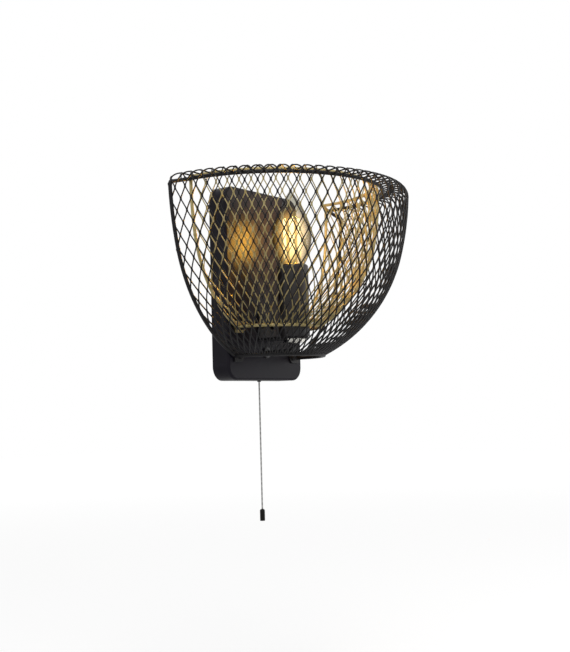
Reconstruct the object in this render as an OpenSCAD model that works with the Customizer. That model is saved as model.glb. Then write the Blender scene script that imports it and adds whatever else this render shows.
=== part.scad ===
/* [Cover] */
// Width of the wall cover
cover_w = 106; // [96:1:130]
// Height of the wall cover
cover_h = 168; // [160:1:200]
// Depth of the cover, from the wall to its face
cover_d = 18; // [17.4:0.2:24]
// Thickness of the cover's sheet steel
cover_wall = 1.2; // [0.8:0.1:1.6]
// Radius of the cover's corners, seen from the front
cover_corner_r = 12; // [6:1:20]
// Radius of the pressed edge round the cover's face
cover_edge_r = 2; // [1:0.25:3]

/* [Wall bracket] */
// Height of the bracket's cross strip
bracket_h = 24; // [20:1:34]
// Thickness of the bracket's steel
bracket_t = 2; // [1.5:0.25:2.5]
// Distance between the two wall screws
wall_screw_gap = 60; // [50:1:76]
// Width of the slots for the wall screws
wall_slot_w = 5.5; // [4.5:0.25:6.5]
// Length of the slots for the wall screws
wall_slot_l = 14; // [10:1:18]
// Diameter of the hole for the mains cable
cable_hole_d = 14; // [10:1:18]
// Width of the tongue that carries the terminal block
tongue_w = 32; // [30:1:40]
// Height of the tongue's end above the middle of the bracket
tongue_top = 38; // [37:1:60]
// Distance of the side screws from the wall
side_screw_y = 9; // [8:0.5:10]

/* [Outer shade] */
// Radius of the outer shade at its shoulder
outer_r = 124.8; // [116:0.2:136]
// Height of the outer shade's top ring above the wall screws
outer_z = 80.6; // [72:0.2:90]
// Width of the sloping rim, from the top ring to the bend
outer_rim_w = 21; // [16:0.5:24]
// Slope of the rim, outwards and down, in degrees
outer_rim_drop = 14; // [0:1:20]
// Radius of the bend between rim and bowl
outer_bend_r = 2.5; // [2:0.25:6]
// Lean of the bowl's wall just under the bend, in degrees
outer_lean = 3.2; // [0:0.2:6]
// Radius of the bowl's upper curve
outer_upper_r = 256; // [230:2:300]
// Length of the bowl's upper curve
outer_upper_l = 53; // [44:1:60]
// Radius of the bowl's lower curve
outer_lower_r = 131; // [126:1:142]
// Radius of the bottom ring
outer_ring_r = 46.5; // [40:0.5:54]
// Diamonds across the outer shade
outer_cells = 36; // [24:1:40]
// Rows of half diamonds down the outer shade
outer_rows = 18; // [12:1:20]

/* [Inner shade] */
// Gap between the weld beads of the inner shade's side wires and the outer shade's top ring
shade_gap = 0.3; // [0.2:0.1:1.5]
// Height of the inner shade's top ring above the wall screws
inner_z = 84.6; // [78:0.2:90]
// Width of the flat rim, from the top ring to the bend
inner_rim_w = 0.4; // [0.2:0.1:3]
// Radius of the bend between rim and bowl
inner_bend_r = 4.5; // [3:0.5:6]
// Lean of the bowl's wall just under the bend, in degrees
inner_lean = 0; // [0:0.2:3]
// Radius of the bowl's upper curve
inner_upper_r = 248; // [220:2:300]
// Length of the bowl's upper curve
inner_upper_l = 45; // [40:1:54]
// Radius of the bowl's lower curve
inner_lower_r = 109; // [104:1:120]
// Radius of the bottom ring
inner_ring_r = 44.1; // [38:0.5:50]
// Diamonds across the inner shade
inner_cells = 28; // [20:1:32]
// Rows of half diamonds down the inner shade
inner_rows = 12; // [8:1:14]

/* [Expanded metal] */
// Width of the outer shade's strands
outer_strand_w = 1.3; // [1:0.1:1.6]
// Width of the inner shade's strands
inner_strand_w = 1.3; // [1:0.1:1.6]
// Thickness of the expanded sheet
mesh_t = 1.2; // [0.8:0.1:1.5]

/* [Frame wires] */
// Diameter of the outer shade's frame wire
outer_wire_d = 3.2; // [2.5:0.1:3.6]
// Diameter of the inner shade's frame wire
inner_wire_d = 2.8; // [2.4:0.1:3]
// Distance of the bowls' axis in front of the cover's face
axis_gap = 5.5; // [4.5:0.5:7]
// Width of the fixing lugs on the bottom rings
lug_w = 10; // [9:0.5:12]
// Thickness of the fixing lugs
lug_t = 1.5; // [1:0.25:2]
// Distance of a lug's screw from its ring
lug_reach = 8; // [7:0.5:10]

/* [Lamp arm] */
// Width of the arm
arm_w = 24; // [22:1:26]
// Thickness of the arm's steel
arm_t = 2; // [1.5:0.25:3]
// Height of the arm's shelf, on which the lampholder stands, above the cover's lower edge
shelf_up = 37; // [36:0.5:44]
// Distance of the lamp's axis from the wall
lamp_y = 49.2; // [47:0.2:56]
// Height of the arm's back plate
arm_plate_h = 26; // [22:1:32]

/* [Lampholder] */
// Diameter of the lampholder's sleeve
holder_d = 27; // [26:0.5:29]
// Length of the lampholder's sleeve
holder_l = 63; // [58:1:68]
// Thickness of the sleeve's wall
holder_wall = 1.6; // [1.2:0.1:2]
// Radius of the sleeve's rounded shoulder
holder_shoulder_r = 2.5; // [1.5:0.25:2.5]
// Outside diameter of the threaded tube under the lampholder
nipple_d = 10; // [9:0.5:11]
// Bore of the threaded tube
nipple_bore_d = 6.5; // [6:0.25:7]

/* [Bulb] */
// Largest diameter of the candle bulb
bulb_d = 35; // [33:0.5:38]
// Diameter of the glass where it leaves the lampholder
bulb_neck_d = 21.2; // [20:0.2:21.6]
// Height of the bulb's widest place above the lampholder
bulb_belly_h = 27.4; // [24:0.2:30]
// Height of the bulb's tip above the lampholder
bulb_tip_h = 66.7; // [60:0.5:72]
// Thickness of the glass
glass_t = 0.8; // [0.5:0.1:1.2]
// Diameter of the bulb's screw cap
cap_d = 13.6; // [13:0.1:14]
// Length of the bulb's screw cap
cap_l = 20; // [18:0.5:22]
// Number of filaments
filament_count = 4; // [2:1:6]
// Length of each filament
filament_l = 37; // [30:1:39]
// Distance of the filaments from the bulb's axis
filament_r = 7; // [4:0.5:8]

/* [Pull switch] */
// Width of the switch's case
switch_w = 22; // [20:0.5:26]
// Height of the switch's case
switch_h = 17; // [16:0.5:18]
// Thickness of the switch case's walls
switch_wall = 1.2; // [1:0.1:1.4]
// Distance of the cord from the wall
cord_y = 9; // [8.6:0.1:9.4]
// Travel of the cord when it is pulled
pull_travel = 6; // [4:0.5:7]
// Diameter of the ratchet wheel
ratchet_d = 9; // [8:0.25:10]
// Teeth of the ratchet wheel
ratchet_teeth = 8; // [6:1:12]
// Outside diameter of the bush that the cord leaves by
bush_d = 3.3; // [3:0.1:4]
// Length of the bush below the cover
bush_proud = 1.1; // [0.5:0.1:2]
// Diameter of the cord
cord_d = 1.4; // [1.2:0.1:1.5]
// Diameter of the bob on the cord's end
bob_d = 4.4; // [4:0.1:6]
// Length of the bob
bob_l = 10.3; // [8:0.1:14]

/* [Wiring] */
// Diameter of the sheathed lead from lampholder to cover
lead_d = 4; // [3.5:0.25:4.5]
// Inside radius of the lead's bends
lead_bend_r = 4.5; // [4:0.25:5]
// Diameter of the switch's single leads
core_d = 1.8; // [1.5:0.1:2.2]
// Width of the terminal block
block_w = 28; // [27:0.5:30]
// Height of the terminal block
block_h = 16; // [14:0.5:18]
// Depth of the terminal block
block_d = 12.5; // [11:0.5:13]

/* [Screws] */
// Thread diameter of the cover's and the arm's screws
screw_d = 4; // [3:0.5:4]
// Thread diameter of the shades' screws
small_screw_d = 3; // [2.5:0.5:3]
// Length of the two screws in the cover's sides
cover_screw_l = 8; // [7:0.5:10]
// Length of the arm's screws
arm_screw_l = 8; // [7:0.5:10]
// Length of the shades' screws
shade_screw_l = 7; // [6:0.5:9]

/* [Hidden] */

// Play between pieces that lie beside each other
clear = 0.2;
// Play round a part that slides or turns loosely
loose = 0.3;
// Radial play of the ratchet wheel on its pin
run = 0.05;
// Radial play of a screw in a clearance hole
screw_play = 0.2;
// Cut-through margin
eps = 0.5;
// Gap that a weld bead fills between two stretches of a frame wire, its length and how far it stands proud
weld_gap = 0.1;
bead_l = 2;
bead_proud = 0.25;

face_y = -cover_d;
cover_inside_w = cover_w - 2 * cover_wall;
cover_inside_h = cover_h - 2 * cover_wall;
axis_y = face_y - axis_gap;
floor_z = -cover_h / 2;
shelf_z = floor_z + shelf_up;

// Each bowl starts at its top ring: [radius, height, heading in degrees]
outer_rim_reach = outer_rim_w * cos(outer_rim_drop) + outer_bend_r * (1 - sin(outer_rim_drop));
outer_start = [outer_r - outer_rim_reach, outer_z, -outer_rim_drop];
inner_r = outer_start.x - (outer_wire_d + inner_wire_d) / 2 - bead_proud - shade_gap;
inner_start = [inner_r - inner_bend_r - inner_rim_w, inner_z, 0];

// Bowl profiles: each stretch is [length, radius, turn in degrees], from the top ring to the bottom ring
outer_upper = [
    [outer_rim_w, 0, 0],
    arc_of_turn(outer_bend_r, 90 + outer_lean - outer_rim_drop),
    arc_of_length(outer_upper_r, outer_upper_l)
];
inner_upper = [
    [inner_rim_w, 0, 0],
    arc_of_turn(inner_bend_r, 90 + inner_lean),
    arc_of_length(inner_upper_r, inner_upper_l)
];
outer_profile = concat(outer_upper, [arc_to_radius(outer_lower_r, outer_upper, outer_start, outer_ring_r)]);
inner_profile = concat(inner_upper, [arc_to_radius(inner_lower_r, inner_upper, inner_start, inner_ring_r)]);
outer_end = along(outer_profile, outer_start, total(outer_profile));
inner_end = along(inner_profile, inner_start, total(inner_profile));

// The frame wires lie in one upright plane just in front of the cover
outer_wire_y = face_y - clear - outer_wire_d / 2;
inner_wire_y = face_y - clear - inner_wire_d / 2;

// Screw heads and nuts follow the thread's diameter
head_of_thread = 1.8;
head_h_of_thread = 0.55;
nut_of_thread = 1.75;
nut_h_of_thread = 0.8;
thread_play = 0.05;

arm_screw_x = 8;
arm_screw_z = shelf_z + 12;
shelf_under = shelf_z - arm_t;
nipple_top = shelf_z + 9;
nut_l = 3;
nipple_end = shelf_under - nut_l - 1;

holder_top = shelf_z + holder_l;
sleeve_bore_d = holder_d - 2 * holder_wall;
sleeve_mouth_d = bulb_neck_d + 2 * loose;
body_d = sleeve_bore_d - 2 * loose;
shell_t = 0.5;
shell_id = cap_d + 2 * loose;
shell_od = shell_id + 2 * shell_t;
cap_top = holder_top - 13;
cap_bottom = cap_top - cap_l;
insulator_h = 3.5;
button_h = 1;
contact_z = cap_bottom - insulator_h - button_h - clear;
socket_floor = contact_z - 2;
body_top = cap_top - 2;

lead_r = lead_bend_r + lead_d / 2;
lead_z = nipple_end - lead_r;
lead_inner_y = face_y + 9.5;
block_bottom = bracket_h / 2 + 4;
block_y = -bracket_t;
way_gap = 9;

switch_front = face_y + cover_wall;
switch_d = 12.5;
switch_back = switch_front + switch_d;
switch_floor = floor_z + cover_wall + 1.2;
switch_top = switch_floor + switch_h;
slider_top = switch_top - switch_wall - clear;
slider_h = 5;
slider_w = 8;
slider_t = 3;
cord_top = slider_top - slider_h;
ratchet_t = 2.2;
ratchet_front = -cord_y + slider_t / 2 + loose;
ratchet_z = switch_floor + switch_h / 2;
pin_d = 2;
bush_end = floor_z - bush_proud;
bush_lip_d = 6;
bush_lip_t = 1;

// Route of the cord's free stretch, from the bush's mouth down to the bob
cord_route = [
    [0, -9, -85.1], [0, -9, -88], [0, -9, -92], [0, -9, -96], [0, -9, -100], [0, -9, -104],
    [0, -9, -108], [0, -9, -112], [0, -9, -116], [0, -9, -120], [0, -9, -124], [0, -9, -128],
    [0, -9, -132], [0, -9, -136], [0, -9, -140], [0, -9, -144], [0, -9, -148], [0, -9, -152],
    [0, -9, -156], [0, -9, -160], [0, -9, -164], [0, -9, -168], [0, -9, -172], [0, -9, -176],
    [0, -9, -180], [0, -9, -184], [0, -9, -188], [0, -9, -192], [0, -9, -197.1]
];
cord_sides = 8;
cord_end = cord_route[len(cord_route) - 1];

// A bend of a given radius that turns clockwise by an angle
function arc_of_turn(radius, turn) = [radius * turn * PI / 180, radius, turn];
// A bend of a given radius and length
function arc_of_length(radius, length) = [length, radius, length / radius * 180 / PI];
// A bend of a given radius that goes on from a profile, inwards, down to a given radius of the bowl
function arc_to_radius(radius, profile, start, ring_r) =
    let (
        p = along(profile, start, total(profile)),
        sine = sin(p.z) - (ring_r - p.x) / radius
    ) arc_of_turn(radius, p.z + 180 + asin(sine));
// Length of a whole profile
function total(profile, i = 0) = i == len(profile) ? 0 : profile[i][0] + total(profile, i + 1);
// Place [r, z, heading] after a part of one stretch
function after(stretch, p, part) =
    stretch[1] == 0
        ? [p.x + part * cos(p.z), p.y + part * sin(p.z), p.z]
        : let (
              turn = stretch[2] * part / stretch[0],
              chord = 2 * stretch[1] * sin(turn / 2)
          ) [p.x + chord * cos(p.z - turn / 2), p.y + chord * sin(p.z - turn / 2), p.z - turn];
// Place [r, z, heading] at a distance along a profile
function along(profile, p, distance, i = 0) =
    i == len(profile) - 1 || distance <= profile[i][0]
        ? after(profile[i], p, distance)
        : along(profile, after(profile[i], p, profile[i][0]), distance - profile[i][0], i + 1);

// Angle from the front at which a ring of radius r meets an upright plane
function reach(r, plane_y) = 90 + asin((plane_y - axis_y) / r);
// Point at radius r, height z and angle a from the front of a bowl
function on_bowl(r, z, a) = [r * sin(a), axis_y - r * cos(a), z];

// Expanded metal: node j of row k stands on its own spot of the bowl.
// It has four outer corners and a ridge behind.
function nodes_in(k, cells) = k % 2 == 0 ? cells + 1 : cells;
function nodes_before(k, cells) = k * cells + ceil(k / 2);
function node_points(profile, start, k, j, rows, cells, strand_w, plane_y) =
    let (
        pitch = total(profile) / rows,
        p = along(profile, start, k * pitch),
        span = reach(p.x, plane_y),
        a = -span + 2 * span * (j + (k % 2) / 2) / cells,
        half_cell = p.x * span * PI / 180 / cells,
        slope = atan(half_cell / pitch),
        half_w = strand_w / 2 / cos(slope),
        half_h = min(strand_w / 2 / sin(slope), 0.4 * pitch),
        side = half_w / p.x * 180 / PI,
        up = along(profile, start, max(k * pitch - half_h, 0)),
        down = along(profile, start, min(k * pitch + half_h, rows * pitch)),
        ridge = [p.x + mesh_t * sin(p.z), p.y - mesh_t * cos(p.z)]
    ) [
        on_bowl(up.x, up.y, a), on_bowl(p.x, p.y, a + side),
        on_bowl(down.x, down.y, a), on_bowl(p.x, p.y, a - side), on_bowl(ridge.x, ridge.y, a)
    ];
function two_triangles(a, b, c, d) = [[a, b, c], [a, c, d]];
// Faces of the strand that runs down to the right, and of the one that runs down to the left
function strand_right(a, b) = concat(
    two_triangles(a + 1, b, b + 3, a + 2),
    two_triangles(b, a + 1, a + 4, b + 4),
    two_triangles(a + 2, b + 3, b + 4, a + 4)
);
function strand_left(a, b) = concat(
    two_triangles(a + 3, a + 2, b + 1, b),
    two_triangles(b + 1, a + 2, a + 4, b + 4),
    two_triangles(a + 3, b, b + 4, a + 4)
);
function node_faces(k, j, rows, cells) =
    let (
        a = 5 * (nodes_before(k, cells) + j),
        below = 5 * (nodes_before(k + 1, cells) + j),
        shift = k % 2 == 0 ? 0 : 1,
        inside_right = k % 2 == 1 || j < cells,
        inside_left = k % 2 == 1 || j > 0,
        right = k < rows && inside_right,
        left = k < rows && inside_left,
        came_left = k > 0 && inside_left,
        came_right = k > 0 && inside_right
    ) concat(
        two_triangles(a, a + 1, a + 2, a + 3),
        right ? strand_right(a, below + 5 * shift) : [[a + 2, a + 1, a + 4]],
        left ? strand_left(a, below + 5 * (shift - 1)) : [[a + 3, a + 2, a + 4]],
        came_left ? [] : [[a, a + 3, a + 4]],
        came_right ? [] : [[a + 1, a, a + 4]]
    );

module expanded_bowl(profile, start, rows, cells, strand_w, plane_y) {
    polyhedron(
        points = [
            for (k = [0:rows], j = [0:nodes_in(k, cells) - 1])
                each node_points(profile, start, k, j, rows, cells, strand_w, plane_y)
        ],
        faces = [
            for (k = [0:rows], j = [0:nodes_in(k, cells) - 1]) each node_faces(k, j, rows, cells)
        ],
        convexity = 10
    );
}

// Wire along a profile, in an upright plane, from one distance to another.
// It is butt-welded where its stretches meet.
module profile_wire(profile, start, wire_d, from, to) {
    steps = [for (i = [0:len(profile)]) total(profile) - total(profile, i)];
    for (i = [0:len(profile) - 1]) {
        first = max(steps[i] + weld_gap, from);
        last = min(steps[i + 1] - weld_gap, to);
        p = along(profile, start, first);
        if (last > first)
            translate([p.x, 0, p.y])
                rotate([0, -p.z, 0])
                    wire_stretch(profile[i][1], wire_d, last - first);
        if (steps[i] > from) {
            weld = along(profile, start, steps[i]);
            translate([weld.x, 0, weld.y])
                rotate([0, 90 - weld.z, 0])
                    cylinder(d = wire_d + 2 * bead_proud, h = bead_l, center = true, $fn = 32);
        }
    }
}

// Straight or bent wire that starts at the origin along +X and bends towards -Z
module wire_stretch(bend_r, wire_d, length) {
    if (bend_r == 0)
        rotate([0, 90, 0]) cylinder(d = wire_d, h = length, $fn = 32);
    else
        translate([0, 0, -bend_r])
            rotate([-90, 0, 0])
                rotate([0, 0, -90])
                    rotate_extrude(angle = length / bend_r * 180 / PI, $fn = 96)
                        translate([bend_r, 0]) circle(d = wire_d, $fn = 32);
}

module side_wires(profile, start, wire_d, ring_d, plane_y) {
    gap = ring_d / 2 + run;
    for (side = [0, 1])
        mirror([side, 0, 0])
            translate([0, plane_y, 0])
                profile_wire(profile, start, wire_d, gap, total(profile) - gap);
}

// Ring that runs round the front of a bowl and ends just short of the cover
module half_ring(r, z, wire_d) {
    span = reach(r, face_y - clear);
    translate([0, axis_y, z])
        rotate([0, 0, -90 - span])
            rotate_extrude(angle = 2 * span, $fn = 144)
                translate([r, 0]) circle(d = wire_d, $fn = 32);
}

function lug_x(end) = end.x - lug_reach;

module lugged_ring(end, wire_d) {
    half_ring(end.x, end.y, wire_d);
    for (side = [-1, 1])
        difference() {
            translate([0, face_y, end.y])
                rotate([90, 0, 0])
                    linear_extrude(lug_t) {
                        translate([side * lug_x(end), 0]) circle(d = lug_w, $fn = 48);
                        translate([side > 0 ? lug_x(end) : -end.x, -lug_w / 2]) square([lug_reach, lug_w]);
                    }
            translate([side * lug_x(end), face_y + eps, end.y])
                rotate([90, 0, 0])
                    cylinder(d = small_screw_d + 2 * screw_play, h = lug_t + 2 * eps, $fn = 32);
        }
}

// Pan-head screw that points along +Z, with its head below zero
module screw(d, length) {
    r = head_of_thread * d / 2;
    h = head_h_of_thread * d;
    cylinder(d = d, h = length, $fn = 32);
    rotate_extrude($fn = 48)
        difference() {
            union() {
                translate([0, -h]) square([r - h / 2, h]);
                translate([0, -h / 2]) square([r, h / 2]);
                translate([r - h / 2, -h / 2]) circle(r = h / 2, $fn = 32);
            }
            translate([-2 * r, -2 * h]) square([2 * r, 4 * h]);
            translate([0, 0]) square([2 * r, 2 * h]);
        }
}

module nut(d, h) {
    difference() {
        cylinder(d = nut_of_thread * d / cos(30), h = h, $fn = 6);
        translate([0, 0, -eps]) cylinder(d = d + 2 * thread_play, h = h + 2 * eps, $fn = 32);
    }
}

module rounded_rect(w, h, r) {
    square([w - 2 * r, h], center = true);
    square([w, h - 2 * r], center = true);
    for (x = [-1, 1], y = [-1, 1]) translate([x * (w / 2 - r), y * (h / 2 - r)]) circle(r = r, $fn = 64);
}

// Places of the shade screws on the cover's face
module at_shade_screws() {
    for (end = [outer_end, inner_end], side = [-1, 1])
        translate([side * lug_x(end), face_y, end.y]) children();
}

module at_arm_screws() {
    for (side = [-1, 1]) translate([side * arm_screw_x, face_y, arm_screw_z]) children();
}

module cover_block() {
    edge = cover_edge_r;
    rotate([90, 0, 0]) {
        linear_extrude(cover_d - edge) rounded_rect(cover_w, cover_h, cover_corner_r);
        linear_extrude(cover_d) rounded_rect(cover_w - 2 * edge, cover_h - 2 * edge, cover_corner_r - edge);
        corner_x = cover_w / 2 - cover_corner_r;
        corner_z = cover_h / 2 - cover_corner_r;
        for (x = [-1, 1], y = [-1, 1])
            translate([x * corner_x, y * corner_z, cover_d - edge])
                rotate_extrude($fn = 64)
                    intersection() {
                        translate([cover_corner_r - edge, 0]) circle(r = edge, $fn = 48);
                        translate([0, -2 * edge]) square([2 * cover_corner_r, 4 * edge]);
                    }
        for (x = [-1, 1])
            translate([x * (cover_w / 2 - edge), -corner_z, cover_d - edge])
                rotate([-90, 0, 0]) cylinder(r = edge, h = 2 * corner_z, $fn = 48);
        for (y = [-1, 1])
            translate([-corner_x, y * (cover_h / 2 - edge), cover_d - edge])
                rotate([0, 90, 0]) cylinder(r = edge, h = 2 * corner_x, $fn = 48);
    }
}

module cover() color("#2f2d33") difference() {
    cover_block();
    translate([0, eps, 0])
        rotate([90, 0, 0])
            linear_extrude(cover_d - cover_wall + eps)
                rounded_rect(cover_inside_w, cover_inside_h, cover_corner_r - cover_wall);
    for (side = [-1, 1])
        translate([side * (cover_w / 2 - 2 * cover_wall), -side_screw_y, 0])
            rotate([0, side * 90, 0]) cylinder(d = screw_d + 2 * screw_play, h = 4 * cover_wall, $fn = 32);
    at_shade_screws() face_hole(small_screw_d);
    at_arm_screws() face_hole(screw_d);
    translate([0, face_y, lead_z]) face_hole(lead_d + 2 * loose + 2);
    translate([0, -cord_y, floor_z - eps])
        cylinder(d = bush_d + 2 * thread_play, h = cover_wall + 2 * eps, $fn = 32);
}

module face_hole(d) translate([0, cover_wall + eps, 0])
    rotate([90, 0, 0]) cylinder(d = d + 2 * screw_play, h = cover_wall + 2 * eps, $fn = 32);

ear_x = cover_inside_w / 2 - clear;
ear_beyond = 5;

module wall_bracket() color("#b9bcc0") {
    difference() {
        rotate([90, 0, 0])
            linear_extrude(bracket_t) {
                translate([-ear_x, -bracket_h / 2]) square([2 * ear_x, bracket_h]);
                translate([-tongue_w / 2, 0]) square([tongue_w, tongue_top]);
            }
        for (side = [-1, 1]) translate([side * wall_screw_gap / 2, 0, 0]) wall_slot();
        translate([0, eps, 0])
            rotate([90, 0, 0]) cylinder(d = cable_hole_d, h = bracket_t + 2 * eps, $fn = 48);
        translate([earth_x, eps, 0])
            rotate([90, 0, 0]) cylinder(d = screw_d + 2 * thread_play, h = bracket_t + 2 * eps, $fn = 32);
        translate([0, eps, block_bottom + block_h / 2])
            rotate([90, 0, 0])
                cylinder(d = small_screw_d + 2 * thread_play, h = bracket_t + 2 * eps, $fn = 32);
    }
    for (side = [-1, 1])
        difference() {
            translate([side > 0 ? ear_x - bracket_t : -ear_x, -ear_depth, -bracket_h / 2])
                cube([bracket_t, ear_depth - bracket_t, bracket_h]);
            translate([side * (ear_x - 2 * bracket_t), -side_screw_y, 0])
                rotate([0, side * 90, 0])
                    cylinder(d = screw_d + 2 * thread_play, h = 3 * bracket_t, $fn = 32);
        }
}

ear_depth = side_screw_y + ear_beyond;
earth_x = wall_screw_gap / 4 + 1;

module wall_slot() translate([0, eps, 0]) rotate([90, 0, 0]) linear_extrude(bracket_t + 2 * eps) {
    square([wall_slot_l - wall_slot_w, wall_slot_w], center = true);
    for (side = [-1, 1])
        translate([side * (wall_slot_l - wall_slot_w) / 2, 0]) circle(d = wall_slot_w, $fn = 32);
}

module cover_screws() color("#8f9296")
    for (side = [-1, 1])
        translate([side * cover_w / 2, -side_screw_y, 0])
            rotate([0, -side * 90, 0]) screw(screw_d, cover_screw_l);

module earth_screw() color("#c9a14a") {
    translate([earth_x, -bracket_t - washer_t, 0]) rotate([-90, 0, 0]) screw(screw_d, bracket_t + washer_t);
    translate([earth_x, -bracket_t, 0])
        rotate([90, 0, 0])
            difference() {
                cylinder(d = 2.2 * screw_d, h = washer_t, $fn = 48);
                translate([0, 0, -eps]) cylinder(d = screw_d, h = washer_t + 2 * eps, $fn = 32);
            }
}

washer_t = 0.8;

module terminal_block() color("#e9e6dc") difference() {
    translate([-block_w / 2, block_y - block_d, block_bottom]) cube([block_w, block_d, block_h]);
    for (i = [-1:1], z = [-1, 1]) {
        translate([i * way_gap, block_y - block_d - eps, block_bottom + block_h / 2 + z * block_h / 4])
            rotate([-90, 0, 0]) cylinder(d = terminal_hole_d, h = terminal_hole_h + eps, $fn = 32);
        translate([i * way_gap, -side_screw_y, z > 0 ? block_bottom + block_h - 5 : block_bottom - eps])
            cylinder(d = core_d + 2 * loose, h = 5 + eps, $fn = 32);
    }
    translate([0, block_y + eps, block_bottom + block_h / 2])
        rotate([90, 0, 0]) cylinder(d = small_screw_d + 2 * screw_play, h = block_d + 2 * eps, $fn = 32);
    translate([0, block_y - block_d - eps, block_bottom + block_h / 2])
        rotate([-90, 0, 0]) cylinder(d = block_head_d + 2 * loose, h = 3 + eps, $fn = 32);
}

terminal_hole_d = 4;
terminal_hole_h = 4;
block_head_d = head_of_thread * small_screw_d;

module terminal_screws() color("#c9a14a") {
    for (i = [-1:1], z = [-1, 1])
        translate([i * way_gap, block_y - block_d + 1, block_bottom + block_h / 2 + z * block_h / 4])
            rotate([-90, 0, 0])
                cylinder(d = terminal_hole_d - 2 * thread_play, h = terminal_hole_h - 1, $fn = 32);
    translate([0, block_y - block_d + 3, block_bottom + block_h / 2])
        rotate([-90, 0, 0]) screw(small_screw_d, block_d + bracket_t - 3);
}

module outer_mesh() color("#2b2a2e")
    expanded_bowl(outer_profile, outer_start, outer_rows, outer_cells, outer_strand_w, outer_wire_y);

module outer_top_ring() color("#2b2a2e") half_ring(outer_start.x, outer_start.y, outer_wire_d);

module outer_side_wires() color("#2b2a2e")
    side_wires(outer_profile, outer_start, outer_wire_d, outer_wire_d, outer_wire_y);

module outer_bottom_ring() color("#2b2a2e") lugged_ring(outer_end, outer_wire_d);

module inner_mesh() color("#c8963c")
    expanded_bowl(inner_profile, inner_start, inner_rows, inner_cells, inner_strand_w, inner_wire_y);

module inner_top_ring() color("#c8963c") half_ring(inner_start.x, inner_start.y, inner_wire_d);

module inner_side_wires() color("#c8963c")
    side_wires(inner_profile, inner_start, inner_wire_d, inner_wire_d, inner_wire_y);

module inner_bottom_ring() color("#c8963c") lugged_ring(inner_end, inner_wire_d);

module shade_screws() color("#2b2a2e")
    at_shade_screws() translate([0, -lug_t, 0]) rotate([-90, 0, 0]) screw(small_screw_d, shade_screw_l);

module shade_nuts() color("#8f9296")
    at_shade_screws() translate([0, cover_wall, 0])
        rotate([-90, 0, 0]) nut(small_screw_d, nut_h_of_thread * small_screw_d);

module lamp_arm() color("#2b2a2e") difference() {
    union() {
        translate([-arm_w / 2, face_y - arm_t, shelf_under]) cube([arm_w, arm_t, arm_plate_h + arm_t]);
        translate([0, 0, shelf_under])
            linear_extrude(arm_t) {
                translate([-arm_w / 2, -lamp_y]) square([arm_w, lamp_y + face_y]);
                translate([0, -lamp_y]) circle(d = arm_w, $fn = 64);
            }
    }
    at_arm_screws() translate([0, eps, 0])
        rotate([90, 0, 0]) cylinder(d = screw_d + 2 * screw_play, h = arm_t + 2 * eps, $fn = 32);
    translate([0, -lamp_y, shelf_under - eps])
        cylinder(d = nipple_d + 2 * screw_play, h = arm_t + 2 * eps, $fn = 48);
}

module arm_screws() color("#2b2a2e")
    at_arm_screws() translate([0, -arm_t, 0]) rotate([-90, 0, 0]) screw(screw_d, arm_screw_l);

module arm_nuts() color("#8f9296")
    at_arm_screws() translate([0, cover_wall, 0]) rotate([-90, 0, 0]) nut(screw_d, nut_h_of_thread * screw_d);

module nipple() color("#c9a14a") translate([0, -lamp_y, nipple_end]) difference() {
    cylinder(d = nipple_d, h = nipple_top - nipple_end, $fn = 48);
    translate([0, 0, -eps]) cylinder(d = nipple_bore_d, h = nipple_top - nipple_end + 2 * eps, $fn = 48);
}

module nipple_nut() color("#c9a14a")
    translate([0, -lamp_y, shelf_under - nut_l]) nut(nipple_d, nut_l);

module lead_grommet() color("#1c1b1d") translate([0, face_y, lead_z]) rotate([90, 0, 0]) difference() {
    union() {
        cylinder(d = lead_d + 2 * loose + 5, h = 1.5, $fn = 48);
        translate([0, 0, -cover_wall - clear]) cylinder(d = lead_d + 2 * loose + 2, h = 2, $fn = 48);
        translate([0, 0, -cover_wall - clear - 1]) cylinder(d = lead_d + 2 * loose + 4, h = 1, $fn = 48);
    }
    translate([0, 0, -cover_wall - 2]) cylinder(d = lead_d + 2 * loose, h = 5, $fn = 48);
}

module holder_lead() color("#1c1b1d") {
    translate([0, -lamp_y, nipple_end]) cylinder(d = lead_d, h = nipple_top - nipple_end, $fn = 32);
    translate([0, lead_r - lamp_y, nipple_end]) rotate([0, 90, 0]) rotate([0, 0, -90]) quarter_bend();
    translate([0, lead_r - lamp_y, lead_z])
        rotate([-90, 0, 0]) cylinder(d = lead_d, h = lead_inner_y - 2 * lead_r + lamp_y, $fn = 32);
    translate([0, lead_inner_y - lead_r, nipple_end]) rotate([0, 90, 0]) quarter_bend();
    translate([0, lead_inner_y, nipple_end])
        cylinder(d = lead_d, h = block_bottom - nipple_end, $fn = 32);
}

module quarter_bend()
    rotate_extrude(angle = 90, $fn = 64) translate([lead_r, 0]) circle(d = lead_d, $fn = 32);

module switch_leads() color("#5a4632")
    for (side = [-1, 1])
        translate([side * way_gap, -side_screw_y, switch_top])
            cylinder(d = core_d, h = block_bottom + 4 - switch_top, $fn = 24);

module holder_body() color("#1c1b1d") translate([0, -lamp_y, 0]) difference() {
    translate([0, 0, shelf_z]) cylinder(d = body_d, h = body_top - shelf_z, $fn = 64);
    translate([0, 0, shelf_z - eps])
        cylinder(d = nipple_d + 2 * thread_play, h = nipple_top - shelf_z + clear + eps, $fn = 48);
    translate([0, 0, socket_floor])
        cylinder(d = shell_od + 2 * thread_play, h = body_top - socket_floor + eps, $fn = 64);
}

module holder_sleeve() color("#1c1b1d") translate([0, -lamp_y, shelf_z]) rotate_extrude($fn = 96) {
    r = holder_d / 2;
    s = holder_shoulder_r;
    difference() {
        union() {
            square([r, holder_l - s]);
            square([r - s, holder_l]);
            translate([r - s, holder_l - s]) circle(r = s, $fn = 48);
        }
        translate([-r, -eps]) square([r + sleeve_bore_d / 2, holder_l - s + eps]);
        translate([-r, -eps]) square([r + sleeve_mouth_d / 2, holder_l + 2 * eps]);
    }
}

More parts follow.
